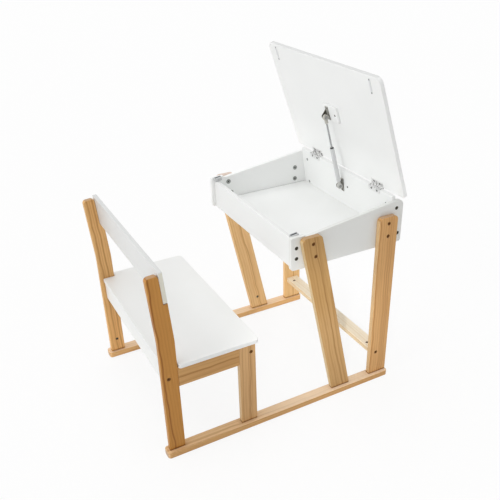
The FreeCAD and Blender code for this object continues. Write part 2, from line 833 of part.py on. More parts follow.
leaf_radii = [0, 0, hinge_leaf_corner, hinge_leaf_corner]
lid_leaf = lid_plate(hinge_x0, hinge_x1, 0, hinge_lid_leaf_width, 0, hinge_leaf, leaf_radii)
lid_leaf = lid_leaf.cut(hinge_rod(-hinge_half - overrun, -knuckle_middle, knuckle_sweep))
lid_leaf = lid_leaf.cut(hinge_rod(knuckle_middle, hinge_half + overrun, knuckle_sweep))
lid_leaf = lid_leaf.fuse(hinge_rod(-knuckle_middle, knuckle_middle, hinge_knuckle_radius)).removeSplitter()
lid_leaf = lid_leaf.cut(hinge_bore)

hinge_frame_screws = Fixings()
hinge_lid_screws = Fixings()
for x in (hinge_centre - hinge_screw_spacing / 2, hinge_centre + hinge_screw_spacing / 2):
    panel_place = lid_point(x, wrap_end, hinge_gap + hinge_panel_screw)
    hinge_frame_screws.add(screw, screw_hole, panel_place, -lid_forward)
    hinge_lid_screws.add(screw, screw_hole, lid_point(x, hinge_lid_screw, hinge_leaf), -lid_down)
hinge_frame_screws.mirror()
hinge_lid_screws.mirror()
frame_leaf = drilled(frame_leaf, hinge_frame_screws)
lid_leaf = drilled(lid_leaf, hinge_lid_screws)

# Gas strut between the back panel and the pad under the lid
lower_pivot = lid_point(strut_offset, tray_board + strut_stand, hinge_gap + strut_lower_drop)
upper_pivot_shut = lid_point(strut_offset, strut_upper_along, pad_thickness + strut_stand)
lid_turn = FreeCAD.Rotation(along_x, -lid_swing)
upper_pivot = hinge_axis + lid_turn.multVec(upper_pivot_shut - hinge_axis)
strut_length = (upper_pivot - lower_pivot).Length
strut_line = (upper_pivot - lower_pivot).normalize()
cylinder_end = strut_cylinder_start + strut_cylinder_length
bore_radius = strut_cylinder_radius - strut_cylinder_wall


def on_strut(start, end, radius):
    """A rod on the strut's own line, made along +Z from the lower pivot."""
    return rod(vec(0, 0, start), vec(0, 0, end), radius)


strut_bore = on_strut(strut_cylinder_start + strut_cylinder_base, cylinder_end + overrun, bore_radius)
strut_tube = on_strut(strut_cylinder_start, cylinder_end, strut_cylinder_radius).cut(strut_bore)
gland_start = cylinder_end + strut_gland_proud - strut_gland_length
gland_end = cylinder_end + strut_gland_proud
gland_plug = on_strut(gland_start, cylinder_end, bore_radius - fit)
gland_collar = on_strut(cylinder_end, gland_end, bore_radius)
gland_bore = on_strut(gland_start - overrun, gland_end + overrun, strut_rod_radius + running_fit)
strut_gland = gland_plug.fuse(gland_collar).removeSplitter().cut(gland_bore)
half_eye = strut_eye_thickness / 2
eye_disc = rod(vec(-half_eye, 0, 0), vec(half_eye, 0, 0), strut_eye_radius)
eye_web = box(-half_eye, half_eye, -strut_eye_neck_radius, strut_eye_neck_radius, 0, strut_eye_radius)
eye_neck = on_strut(strut_eye_radius, strut_cylinder_start, strut_eye_neck_radius)
eye_reach = strut_eye_neck_radius + overrun
eye_hole = rod(vec(-eye_reach, 0, 0), vec(eye_reach, 0, 0), strut_stud_radius + running_fit)
strut_eye = eye_disc.fuse([eye_web, eye_neck]).removeSplitter().cut(eye_hole)
rod_socket_floor = strut_cylinder_start - strut_rod_socket
rod_socket = on_strut(rod_socket_floor, strut_cylinder_start + overrun, strut_rod_radius + fit)
rod_eye = strut_eye.cut(rod_socket)
piston_end = gland_start - strut_piston_gap
piston_start = piston_end - strut_piston_length
rod_end = strut_length - rod_socket_floor
strut_rod = on_strut(piston_start, rod_end, strut_rod_radius)
piston_bore = on_strut(piston_start - overrun, piston_end + overrun, strut_rod_radius + fit)
strut_piston = on_strut(piston_start, piston_end, bore_radius - running_fit).cut(piston_bore)

# Strut brackets with their studs: each ear stands to the left of the strut
ear_inner_x = -strut_cylinder_radius - bracket_ear_gap
ear_outer_x = ear_inner_x - bracket_sheet
plate_middle_x = ear_outer_x + bracket_width / 2
eye_side = half_eye + moving_gap
clip_end = eye_side + strut_clip_thickness


def across(x0, x1, radius):
    return rod(vec(x0, 0, 0), vec(x1, 0, 0), radius)


def make_bracket(pivot, out, run, rise, screws):
    """A bent plate: its base on the face behind the pivot, higher by a rise, and its ear to the pivot."""
    pivot_foot = pivot - out * strut_stand
    foot = pivot_foot + run * rise
    reach = run * (bracket_length / 2)
    sheet = out * bracket_sheet
    outer = vec(ear_outer_x, 0, 0)
    base_corners = [foot - reach, foot + reach, foot + reach + sheet, foot - reach + sheet]
    base = slab([outer + corner for corner in base_corners], [0] * 4, along_x * bracket_width)
    root = run * (bracket_ear_root / 2)
    nose = run * bracket_ear_nose
    nose_out = out * (strut_stand + bracket_ear_nose)
    ear_corners = [foot - root, foot + root, pivot_foot + nose_out + nose, pivot_foot + nose_out - nose]
    ear_radii = [0, 0, bracket_ear_nose * bracket_nose_share, bracket_ear_nose * bracket_nose_share]
    ear = slab([outer + corner for corner in ear_corners], ear_radii, along_x * bracket_sheet)
    for way in (-1, 1):
        screw_place = foot + sheet + run * (way * bracket_screw_spacing / 2)
        screws.add(screw, screw_hole, screw_place + vec(plate_middle_x, 0, 0), -out)
    return drilled(base.fuse(ear).removeSplitter(), screws)


def make_stud(foot_x):
    """A shouldered stud from its foot through the eye, with a clip on its end."""
    shoulder = across(max(foot_x, ear_inner_x), -eye_side, strut_eye_neck_radius)
    clip = across(eye_side, clip_end, strut_clip_radius)
    return across(foot_x, clip_end, strut_stud_radius).fuse([shoulder, clip]).removeSplitter()


lower_bracket_screws = Fixings()
upper_bracket_screws = Fixings()
lower_bracket = make_bracket(lower_pivot, lid_forward, lid_down, 0, lower_bracket_screws)
upper_bracket = make_bracket(
    upper_pivot_shut, lid_down, lid_forward, upper_mount_rise, upper_bracket_screws
)
stud_hole = across(ear_outer_x - overrun, 0, strut_stud_radius + fit)
stud_hole.translate(lower_pivot)
lower_bracket = lower_bracket.cut(stud_hole)
lower_stud = make_stud(ear_outer_x)
lower_stud.translate(lower_pivot)
upper_stud = make_stud(ear_inner_x + moving_gap)
upper_stud.translate(upper_pivot)
panel_screw_place = lower_pivot - lid_forward * strut_stand + vec(panel_screw_shift, 0, 0)
lower_bracket_screws.add(screw, screw_hole, panel_screw_place, -lid_forward)

# Pad under the lid
pad_middle = strut_offset + pad_shift
pad_along = strut_upper_along + upper_mount_rise
pad_screw_length = pad_thickness + screw_length - screw_head_height
pad_screw_sizes = (screw_head_radius, screw_head_height, screw_radius, pad_screw_length)
pad_screw = make_screw(*pad_screw_sizes)
pad_screw_hole = make_screw_hole(*pad_screw_sizes)
pad_screws = Fixings()
for x in (pad_middle - pad_screw_spacing / 2, pad_middle + pad_screw_spacing / 2):
    pad_screws.add(pad_screw, pad_screw_hole, lid_point(x, pad_along, pad_thickness), -lid_down)
pad_plan = [
    (pad_middle - pad_width / 2, pad_along - pad_length / 2),
    (pad_middle + pad_width / 2, pad_along - pad_length / 2),
    (pad_middle + pad_width / 2, pad_along + pad_length / 2),
    (pad_middle - pad_width / 2, pad_along + pad_length / 2),
]
pad_corners = [lid_point(x, along, 0) for x, along in pad_plan]
pad = eased_slab(pad_corners, [pad_corner] * 4, lid_down * pad_thickness, board_easing)
pad = drilled(pad, pad_screws, upper_bracket_screws)

# Strike plates under the lid
strike_screws = Fixings()
strike_reach = strike_length / 2 - strike_screw_margin
for along in (strike_along - strike_reach, strike_along + strike_reach):
    strike_place = lid_point(catch_middle, along, strike_thickness)
    strike_screws.add(small_screw, small_screw_hole, strike_place, -lid_down)
strike_screws.mirror()
strike = lid_plate(
    catch_middle - strike_width / 2,
    catch_middle + strike_width / 2,
    strike_along - strike_length / 2,
    strike_along + strike_length / 2,
    0,
    strike_thickness,
    [strike_width * strike_end_share] * 4,
)
strike = drilled(strike, strike_screws)

# Tray back panel, square to the shut lid
panel_rim = hinge_gap
panel_end = hinge_gap + back_panel_height
panel_plan = [
    (-tray_inner, panel_rim),
    (tray_inner, panel_rim),
    (tray_inner, panel_end),
    (-tray_inner, panel_end),
]
panel_corners = [lid_point(x, 0, below) for x, below in panel_plan]
back_panel = eased_slab(panel_corners, [0] * 4, lid_forward * tray_board, board_easing)
back_panel = back_panel.cut([tray_floor] + both_sides([knuckle_room]))
back_panel = drilled(back_panel, tray_bolts, tray_nuts, hinge_frame_screws, lower_bracket_screws)

# Lid
lid_half = leg_outer + lid_side_overhang
lid_plan = [(-lid_half, 0), (lid_half, 0), (lid_half, lid_depth), (-lid_half, lid_depth)]
lid_corners = [lid_point(x, along, 0) for x, along in lid_plan]
lid_radii = [lid_rear_corner, lid_rear_corner, lid_front_corner, lid_front_corner]
lid = eased_slab(lid_corners, lid_radii, lid_down * -lid_thickness, board_easing)
lid = drilled(lid.cut(both_sides([knuckle_room])), hinge_lid_screws, pad_screws, strike_screws)

# Every piece by name: a right-hand piece has its mirror image on the left
frame_pairs = {
    "runner": runner,
    "bench_post": post,
    "bench_front_leg": seat_leg,
    "bench_side_rail": side_rail,
    "desk_front_leg": front_leg,
    "desk_back_leg": back_leg,
    "tray_side": tray_side,
    "hinge_frame_leaf": frame_leaf,
}
nodes = {}
for name, shape in frame_pairs.items():
    nodes[name + "_right"] = shape
    nodes[name + "_left"] = mirrored(shape)
nodes["backrest"] = backrest
nodes["seat"] = seat
nodes["rear_apron"] = rear_apron
nodes["front_apron"] = front_apron
nodes["footrest_bar"] = footrest
nodes["tray_floor"] = tray_floor
nodes["tray_front_panel"] = front_panel
nodes["tray_back_panel"] = back_panel
nodes["hinge_pins"] = Part.makeCompound(both_sides([hinge_pin]))
nodes["catches"] = Part.makeCompound(both_sides([catch]))
nodes["catch_poles"] = Part.makeCompound(both_sides([pole]))
nodes["catch_screws"] = group(catch_screws)
nodes["strut_lower_bracket"] = lower_bracket
nodes["strut_lower_stud"] = lower_stud
nodes["strut_lower_screws"] = group(lower_bracket_screws)
nodes["hinge_frame_screws"] = group(hinge_frame_screws)
nodes["foot_bolts"] = group(foot_bolts)
nodes["foot_nuts"] = group(foot_nuts)
nodes["leg_bolts"] = group(leg_bolts)
nodes["leg_inserts"] = group(leg_inserts)
nodes["tray_bolts"] = group(tray_bolts)
nodes["tray_nuts"] = group(tray_nuts)
nodes["cross_bolts"] = group(cross_bolts)
nodes["apron_nuts"] = group(apron_nuts)
nodes["footrest_nuts"] = group(footrest_nuts)
nodes["rail_dowels"] = group(rail_dowels)
nodes["board_dowels"] = group(board_dowels)

# The strut stands on its line, and the pieces of the lid swing to its open rest
strut_nodes = {
    "strut_tube": strut_tube,
    "strut_gland": strut_gland,
    "strut_tube_eye": strut_eye,
    "strut_rod": strut_rod,
    "strut_piston": strut_piston,
}
for name, shape in strut_nodes.items():
    nodes[name] = placed(shape, lower_pivot, strut_line)
nodes["strut_rod_eye"] = placed(rod_eye, upper_pivot, -strut_line)
nodes["strut_upper_stud"] = upper_stud
lid_nodes = {
    "lid": lid,
    "hinge_lid_leaf_right": lid_leaf,
    "hinge_lid_leaf_left": mirrored(lid_leaf),
    "hinge_lid_screws": group(hinge_lid_screws),
    "strut_pad": pad,
    "strut_pad_screws": group(pad_screws),
    "strut_upper_bracket": upper_bracket,
    "strut_upper_screws": group(upper_bracket_screws),
    "lid_strikes": Part.makeCompound(both_sides([strike])),
    "lid_strike_screws": group(strike_screws),
}
for name, shape in lid_nodes.items():
    nodes[name] = opened(shape)

# The origin goes to the middle of the footprint, on the floor
bounds = Part.makeCompound(list(nodes.values())).optimalBoundingBox(False, False)
to_origin = vec(0, -(bounds.YMin + bounds.YMax) / 2, 0)
os.makedirs("parts", exist_ok=True)
for name, shape in nodes.items():
    piece = shape.copy()
    piece.translate(to_origin)
    piece.exportStep("parts/" + name + ".step")
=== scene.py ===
import math

import bpy
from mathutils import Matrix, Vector


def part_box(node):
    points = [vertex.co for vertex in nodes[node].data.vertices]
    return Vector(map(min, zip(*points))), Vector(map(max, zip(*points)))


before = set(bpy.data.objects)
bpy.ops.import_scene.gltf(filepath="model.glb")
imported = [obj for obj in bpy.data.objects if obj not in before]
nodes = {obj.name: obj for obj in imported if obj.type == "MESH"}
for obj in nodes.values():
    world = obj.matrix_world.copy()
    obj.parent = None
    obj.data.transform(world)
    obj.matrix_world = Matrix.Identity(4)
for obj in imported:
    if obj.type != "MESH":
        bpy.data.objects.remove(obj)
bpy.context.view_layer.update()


# Floor runners: two flat pine bars that lie on the floor and carry every leg.
# They are planed from clear softwood, eased along the edges and sealed with a thin satin lacquer.


class Tap:
    """A shader socket that takes part in sums: each operator adds a Math node."""

    def __init__(self, recipe, socket):
        self.recipe = recipe
        self.socket = socket

    def __add__(self, other):
        return self.recipe.math("ADD", self, other)

    def __radd__(self, other):
        return self.recipe.math("ADD", other, self)

    def __sub__(self, other):
        return self.recipe.math("SUBTRACT", self, other)

    def __rsub__(self, other):
        return self.recipe.math("SUBTRACT", other, self)

    def __mul__(self, other):
        return self.recipe.math("MULTIPLY", self, other)

    def __rmul__(self, other):
        return self.recipe.math("MULTIPLY", other, self)

    def __truediv__(self, other):
        return self.recipe.math("DIVIDE", self, other)

    def __rtruediv__(self, other):
        return self.recipe.math("DIVIDE", other, self)

    def __pow__(self, other):
        return self.recipe.math("POWER", self, other)

    def __rpow__(self, other):
        return self.recipe.math("POWER", other, self)

    def __abs__(self):
        return self.recipe.math("ABSOLUTE", self)


class Recipe:
    """A tree of shader nodes under construction."""

    def __init__(self, tree):
        self.tree = tree

    def found(self, kind):
        return next(node for node in self.tree.nodes if node.type == kind)

    def socket(self, sockets, key):
        if isinstance(key, int):
            return sockets[key]
        return next(socket for socket in sockets if key in (socket.identifier, socket.name))

    def feed(self, node, values):
        for key, value in values.items():
            target = self.socket(node.inputs, key)
            if isinstance(value, Tap):
                self.tree.links.new(value.socket, target)
            else:
                target.default_value = value

    def node(self, kind, settings, values, output=0):
        """Any node: its settings are set first, then its sockets."""
        made = self.tree.nodes.new(kind)
        for name, value in settings.items():
            setattr(made, name, value)
        self.feed(made, values)
        return Tap(self, self.socket(made.outputs, output))

    def math(self, operation, *values):
        return self.node("ShaderNodeMath", {"operation": operation}, dict(enumerate(values)))

    def place(self):
        return self.node("ShaderNodeTexCoord", {}, {}, "Object")

    def normal(self):
        return self.node("ShaderNodeTexCoord", {}, {}, "Normal")

    def dot(self, vector, direction):
        values = {0: vector, 1: direction}
        return self.node("ShaderNodeVectorMath", {"operation": "DOT_PRODUCT"}, values, "Value")

    def reach(self, way):
        """How far a point of the surface lies along a way, from the middle of the floor."""
        return self.dot(self.place(), way)

    def vector(self, x, y, z):
        return self.node("ShaderNodeCombineXYZ", {}, {0: x, 1: y, 2: z})

    def noise(self, vector, scale=1.0, detail=2.0, roughness=0.5):
        values = {"Vector": vector, "Scale": scale, "Detail": detail, "Roughness": roughness}
        return self.node("ShaderNodeTexNoise", {}, values)

    def ease(self, value, low, high):
        """0 below low, 1 above high, and a smooth rise between."""
        values = {"Value": value, "From Min": low, "From Max": high}
        return self.node("ShaderNodeMapRange", {"interpolation_type": "SMOOTHSTEP"}, values)

    def mix(self, share, first, second, blend="MIX"):
        settings = {"data_type": "RGBA", "blend_type": blend}
        values = {"Factor_Float": share, "A_Color": first, "B_Color": second}
        return self.node("ShaderNodeMix", settings, values, "Result_Color")

    def relief(self, height, strength, depth):
        values = {"Strength": strength, "Distance": depth, "Height": height}
        return self.node("ShaderNodeBump", {}, values)


class Finish(Recipe):
    """The finish of a surface: one shader, and the nodes that feed it."""

    def __init__(self, name):
        self.material = bpy.data.materials.new(name)
        self.material.use_nodes = True
        super().__init__(self.material.node_tree)
        self.shader = self.found("BSDF_PRINCIPLED")

    def use(self, **sockets):
        self.feed(self.shader, {name.replace("_", " "): value for name, value in sockets.items()})

    def tinted(self, share, colour, blend="MIX"):
        """Lays another colour over the first, by share. MULTIPLY darkens it and keeps the grain."""
        tint = Tap(self, self.shader.inputs["Base Color"].links[0].from_socket)
        self.use(Base_Color=self.mix(share, tint, paint(*colour), blend))
        return self

    def edged(self, way, colour, blend="MIX", share=1.0):
        """Gives the faces that look along a way a tint of their own."""
        facing = self.ease(abs(self.dot(self.normal(), way)), 0.80, 0.97)
        return self.tinted(facing * share, colour, blend)

    def dress(self, *names):
        for name in names:
            nodes[name].data.materials.clear()
            nodes[name].data.materials.append(self.material)


def paint(red, green, blue):
    """A colour as seen on a screen, 0 to 255, turned into light values."""
    light = []
    for level in (red, green, blue):
        share = level / 255
        light.append(share / 12.92 if share < 0.04045 else ((share + 0.055) / 1.055) ** 2.4)
    return (*light, 1)


def pine(
    node, length_way, face_way, heart, colour,
    veins=(), contrast=0.6, wander=0.6, taper=0.006, ring=0.008,
):
    """Pine of one board: length_way runs along it and face_way out of its wide face.

    heart is how far behind the board's middle, and how far to its side, the tree's own middle lay.
    veins are years with a dark line: how far each lies to the side of the middle, and how strong.
    contrast sets how dark the late wood is, wander how much the grain strays, taper how fast the
    tree narrows along the board, and ring the growth of one year.
    """
    late_shares = (0.74, 0.61, 0.40)
    warm_shares = (0.94, 0.84, 0.68)
    early_shares = (1.0, 1.01, 1.03)
    sawn_grey = Vector((186, 160, 142))
    most_lift = 1.06
    seed_step = 3.7
    vein_half = 0.0040
    late_full = Vector([level * share for level, share in zip(colour, late_shares)])
    warm_full = Vector([level * share for level, share in zip(colour, warm_shares)])
    lift = min(most_lift, 255 / max(colour))
    early = paint(*[level * lift * share for level, share in zip(colour, early_shares)])
    late = paint(*Vector(colour).lerp(late_full, contrast))
    vein_brown = paint(*late_full)
    warm = paint(*Vector(colour).lerp(warm_full, contrast))
    sawn = paint(*Vector(colour).lerp(sawn_grey, 0.65))
    low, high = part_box(node)
    middle = (low + high) / 2
    along_way = Vector(length_way).normalized()
    out_way = Vector(face_way).normalized()
    side_way = along_way.cross(out_way)
    seed = seed_step * len(bpy.data.materials)
    wood = Finish("pine_" + node)
    point = wood.place()
    along = wood.dot(point, along_way) - middle.dot(along_way)
    out = wood.dot(point, out_way) - middle.dot(out_way)
    side = wood.dot(point, side_way) - middle.dot(side_way)
    sway = wood.noise(wood.vector(along * 2.6 + seed, out * 8, side * 8)) - 0.5
    drift = wood.noise(wood.vector(along * 4.5 + seed, seed, side * 5), detail=1.0) - 0.5
    ripple = wood.noise(wood.vector(along * 15 + seed, seed, side * 12), detail=1.0) - 0.5
    depth = out + heart[0] + along * taper + sway * (0.014 * wander)
    across = side - heart[1] + drift * (0.022 * wander) + ripple * (0.009 * wander)
    from_heart = (depth * depth + across * across) ** 0.5
    turns = from_heart / ring + sway * (0.8 * wander)
    season = wood.math("FRACT", turns)
    latewood = wood.ease(season, 0.50, 0.88) * (1 - wood.ease(season, 0.88, 1.0))
    year = wood.math("FLOOR", turns)
    band = wood.noise(wood.vector(year * 1.37, seed, seed), detail=1.0)
    fibre_at = wood.vector(along * 18, out * 900, side * 900 + seed)
    fibre = wood.noise(fibre_at, detail=3.0, roughness=0.6)
    streak = wood.noise(wood.vector(along * 5, out * 210, side * 210 + seed), roughness=0.6)
    pores = wood.noise(wood.vector(along * 70, out * 2600, side * 2600), roughness=0.6)
    cloud = wood.noise(wood.vector(along * 3.0, out * 16 + seed, side * 16))
    tint = wood.mix(season * 0.35, early, warm)
    tint = wood.mix(latewood * (0.15 + wood.ease(band, 0.44, 0.66) * 0.75), tint, late)
    for vein, strength in veins:
        stray = abs(side - vein + drift * 0.018 + ripple * 0.010)
        tint = wood.mix((1 - wood.ease(stray, 0.0, vein_half)) * strength, tint, vein_brown)
    tint = wood.mix(wood.ease(streak, 0.48, 0.78) * 0.45, tint, late)
    tint = wood.mix(wood.ease(fibre, 0.45, 0.75) * 0.22, tint, late)
    tint = wood.mix(wood.ease(cloud, 0.40, 0.75) * 0.30, tint, warm)
    tint = wood.mix(wood.ease(pores, 0.60, 0.80) * 0.16, tint, late)
    cut_end = wood.ease(abs(wood.dot(wood.normal(), along_way)), 0.75, 0.95)
    tint = wood.mix(cut_end * 0.85, tint, sawn)
    height = fibre * 0.5 + latewood * 0.3 + pores * 0.2
    wood.use(
        Base_Color=tint,
        Roughness=0.42 + fibre * 0.10 + cut_end * 0.12,
        Normal=wood.relief(height, strength=0.22, depth=0.00035),
        Specular_IOR_Level=0.22,
        Coat_Weight=0.04,
        Coat_Roughness=0.30,
    )
    wood.dress(node)
    return wood


up = (0, 0, 1)
rightward = (1, 0, 0)
forward = (0, 1, 0)
painted_top_light = (250, 230, 206)
painted_side_shade = (232, 219, 193)
near_runner = pine(
    "runner_right", forward, up, heart=(0.030, 0.030), colour=(227, 189, 142),
    veins=((0.004, 0.4),), contrast=0.4,
)
# Painted light and shade: the near runner's top is painted paler past the bench, where the bench's
# shadow ends, and its sides are painted darker.
past_bench = near_runner.ease(near_runner.reach(forward), -0.25, 0.08)
near_runner.edged(up, painted_top_light, share=past_bench * 0.55)
near_runner.edged(rightward, painted_side_shade, "MULTIPLY")
far_runner = pine(
    "runner_left", forward, up, heart=(0.030, -0.040), colour=(252, 206, 146),
    veins=((-0.003, 0.4),), contrast=0.4,
)
# Painted light and shade: the far runner's top is painted paler and its sides darker.
far_runner.edged(up, painted_top_light, share=0.5)
far_runner.edged(rightward, painted_side_shade, "MULTIPLY", share=0.4)


# Bench side frames: a post that bends back above the seat, a straight front leg and a rail between.
# All are pine of the same thickness, glued up with dowels and bolted down to the runners.


def seated(wood):
    """Darkens the foot of a leg, where shade gathers in its joint with the runner."""
    joint_shade = (176, 150, 96)
    rise = wood.reach(up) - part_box("runner_right")[1].z
    return wood.tinted(1 - wood.ease(rise, 0.001, 0.008), joint_shade, "MULTIPLY")


swept = (0, -0.04, 1)
# Painted light: the narrow faces of the near legs that look forward or back are painted paler.
painted_edge_light = (226, 208, 168)
near_post = pine(
    "bench_post_right", swept, rightward, heart=(0.020, 0.060), colour=(187, 132, 63),
    veins=((-0.0150, 0.9),), contrast=0.4,
)
seated(near_post)
far_post = pine(
    "bench_post_left", swept, rightward, heart=(0.026, -0.050), colour=(240, 189, 124),
    veins=((-0.006, 0.6), (0.010, 0.6)),
)
# Painted light: the far post is painted pale and darker above the seat, so that its part under the
# seat, in the seat's shadow, is painted lighter.
over_seat = far_post.ease(far_post.reach(up), 0.10, 0.32)
seated(far_post.tinted(over_seat, (233, 233, 232), "MULTIPLY"))
near_bench_leg = pine(
    "bench_front_leg_right", up, rightward, heart=(0.030, 0.050), colour=(202, 161, 111),
    veins=((0.006, 0.6),), contrast=0.4,
)
# Painted light: the near bench leg's narrow faces are painted paler.
seated(near_bench_leg.edged(forward, painted_edge_light, share=0.4))
far_bench_leg = pine(
    "bench_front_leg_left", up, rightward, heart=(0.030, -0.040), colour=(216, 174, 118),
    veins=((-0.004, 0.6),),
)
seated(far_bench_leg)
pine(
    "bench_side_rail_right", forward, rightward, heart=(0.020, 0.012), colour=(196, 151, 95),
    veins=((0.002, 0.6),), contrast=0.4,
)
pine(
    "bench_side_rail_left", forward, rightward, heart=(0.026, -0.030), colour=(212, 166, 108),
    veins=((0.005, 0.6),),
)


# Bench boards: seat, backrest and the aprons below the seat, cut from smooth board.
# They are sprayed white in a satin lacquer that leaves a very fine orange-peel skin.
# Bolts draw the aprons up between the side frames, and dowels hold seat and backrest.


def lacquer(name, colour, shade, rough=0.36):
    """Sprayed white: two near shades cloud into each other under a skin of fine peel."""
    board = Finish(name)
    point = board.place()
    cloud = board.noise(point, 5.0, detail=3.0)
    peel = board.noise(point, 620.0, roughness=0.4)
    speck = board.noise(point, 1900.0, detail=1.0)
    roller = board.noise(point, 42.0)
    tint = board.mix(board.ease(cloud, 0.3, 0.7) * 0.55, paint(*colour), paint(*shade))
    tint = board.mix(board.ease(speck, 0.70, 0.82) * 0.30, tint, paint(*shade))
    board.use(
        Base_Color=tint,
        Roughness=rough - 0.04 + peel * 0.06 + roller * 0.05,
        Normal=board.relief(peel * 0.7 + roller * 0.3, strength=0.10, depth=0.00025),
        Coat_Weight=0.08,
        Coat_Roughness=0.22,
    )
    return board


lacquer("seat_lacquer", (240, 241, 240), (236, 237, 235)).dress("seat")
lacquer("apron_lacquer", (242, 243, 241), (238, 239, 237)).dress("rear_apron", "front_apron")
# Painted shade: the backrest has the seat's white lacquer, painted darker.
back_board = lacquer("backrest_lacquer", (219, 220, 219), (214, 215, 214))
back_board.edged(rightward, (226, 223, 208)).dress("backrest")


# Desk legs and footrest: the front legs lean towards the child, the back legs stand upright.
# They are of the same pine, bolted to the tray's sides and down to the runners.
# A flat pine bar for the feet is bolted between the back legs.
lean = math.radians(12)
leaning = (0, -math.sin(lean), math.cos(lean))
near_leg = pine(
    "desk_front_leg_right", leaning, rightward, heart=(0.022, 0.030), colour=(191, 152, 100),
    veins=((0.006, 0.55), (-0.014, 0.35)), contrast=0.32,
)
# Painted shade and light: the near desk leg is painted darker up by the tray, and its narrow faces
# paler.
by_tray = near_leg.ease(near_leg.reach(up), 0.25, 0.40)
near_leg.tinted(by_tray, (245, 242, 230), "MULTIPLY")
seated(near_leg.edged(forward, painted_edge_light, share=0.5))
far_leg = pine(
    "desk_front_leg_left", leaning, rightward, heart=(0.024, 0.030), colour=(253, 210, 150),
    veins=((0.004, 0.6),), contrast=0.45,
)
# Painted highlight: the top of the far desk leg is painted pale, as if lit from above.
leg_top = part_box("desk_front_leg_left")[1].z
painted_top_highlight = far_leg.ease(far_leg.reach(up), leg_top - 0.014, leg_top - 0.008)
seated(far_leg.tinted(painted_top_highlight * 0.8, (222, 206, 198)))
near_back_leg = pine(
    "desk_back_leg_right", up, rightward, heart=(0.020, 0.080), colour=(211, 164, 107),
    veins=((-0.031, 0.6), (0.001, 0.4), (0.010, 0.4), (0.017, 0.4)),
    contrast=0.5, wander=0.3, taper=0.0,
)
# Painted light: the near back leg's narrow faces are painted paler.
seated(near_back_leg.edged(forward, painted_edge_light, share=0.4))
far_back_leg = pine(
    "desk_back_leg_left", up, rightward, heart=(0.030, -0.070), colour=(253, 211, 150),
    veins=((0.004, 0.6),), contrast=0.5, wander=0.3, taper=0.0,
)
seated(far_back_leg)
# Painted light and shade: the footrest's pine is painted very pale, as if in strong light, and its
# narrow faces that look forward or back darker.
footrest = pine(
    "footrest_bar", rightward, up, heart=(0.030, 0.040), colour=(255, 243, 218), contrast=0.2
)
footrest.edged(forward, (247, 235, 216), "MULTIPLY")


# Tray: sloping sides, a front and a back panel, and a floor let into grooves all round.
# The boards have the same white lacquer as the seat, painted a shade lighter or darker board by
# board as painted light and shade, and are bolted at the corners.
# A fine painted shadow line runs along the floor's sides, where they go into the grooves.
# Painted light and shade: the near side is painted darker than the seat's white; the far side, back
# panel and floor lighter; the top edges of the back and front panels darker.
lacquer("near_side_lacquer", (231, 232, 229), (226, 227, 224)).dress("tray_side_right")
lacquer("far_side_lacquer", (250, 251, 250), (246, 247, 246)).dress("tray_side_left")
back_lacquer = lacquer("tray_back_lacquer", (248, 249, 248), (244, 245, 244))
back_lacquer.edged(up, (240, 241, 240)).dress("tray_back_panel")
front_lacquer = lacquer("tray_front_lacquer", (240, 241, 240), (235, 236, 235))
front_lacquer.edged(up, (231, 232, 231)).dress("tray_front_panel")
floor_lacquer = lacquer("tray_floor_lacquer", (245, 246, 245), (241, 242, 240), rough=0.42)
wall = -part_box("tray_side_left")[1].x
# Painted shadow: a dark line along the floor's sides, where they go into the grooves.
shadow_start = 0.0024
shadow_full = 0.0008
from_middle = abs(floor_lacquer.reach(rightward))
groove_shadow = floor_lacquer.ease(from_middle, wall - shadow_start, wall - shadow_full)
floor_lacquer.tinted(groove_shadow * 0.8, (120, 122, 120)).dress("tray_floor")


# Bolts, cross dowels, inserts and dowels: dark socket heads sit just under the legs' surface.
# They draw up steel cross dowels and flanged inserts.
# Plain wooden dowels keep the rails and boards in line.


def metal(name, colour, worn, rough, metallic=1.0, grain=900.0):
    """Plated or blackened steel: rubbed patches, fine turning marks and a little dulling."""
    steel = Finish(name)
    point = steel.place()
    patch = steel.noise(point, 260.0, detail=3.0, roughness=0.6)
    marks = steel.noise(point, grain, roughness=0.7)
    fleck = steel.noise(point, 2400.0, detail=1.0)
    rubbed = steel.ease(patch, 0.48, 0.70)
    tint = steel.mix(rubbed * 0.6, paint(*colour), paint(*worn))
    tint = steel.mix(steel.ease(fleck, 0.55, 0.75) * 0.25, tint, paint(*worn))
    steel.use(
        Base_Color=tint,
        Metallic=metallic - rubbed * 0.1,
        Roughness=rough + marks * 0.14 - rubbed * 0.06,
        Normal=steel.relief(marks, strength=0.12, depth=0.00008),
    )
    return steel


bronzed = metal("bronzed_steel", (112, 72, 26), (138, 96, 48), rough=0.42, metallic=0.6)
# Painted shade: the bolts' ends inside the inserts are painted dark, for the shade in the inserts'
# bores.
insert_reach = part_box("leg_inserts")[1].x
tip_fade = 0.001
from_middle = abs(bronzed.reach(rightward))
tip = 1 - bronzed.ease(from_middle, insert_reach - tip_fade, insert_reach)
bronzed.tinted(tip, (64, 66, 64)).dress("foot_bolts", "leg_bolts", "cross_bolts")
browned = metal("browned_steel", (70, 66, 54), (104, 98, 82), rough=0.40, metallic=0.7)
browned.dress("tray_bolts")
zinc = metal("zinc_steel", (150, 153, 149), (176, 178, 175), rough=0.34, metallic=0.5)
zinc.dress("leg_inserts", "apron_nuts", "tray_nuts")
dowel_nut_steel = metal("dowel_nut_steel", (96, 82, 66), (140, 124, 104), rough=0.34)
dowel_nut_steel.dress("foot_nuts", "footrest_nuts")
for dowels, length_way, face_way in (
    ("rail_dowels", forward, up),
    ("board_dowels", up, rightward),
):
    pine(
        dowels, length_way, face_way, heart=(0.3, 0.02), colour=(230, 190, 140),
        contrast=0.8, taper=0.0, ring=0.0015,
    )


# Catches: a moulded block in each front corner of the tray holds a dark magnet plate in its top.
# One screw passes through the block into the raised ear of the tray side.


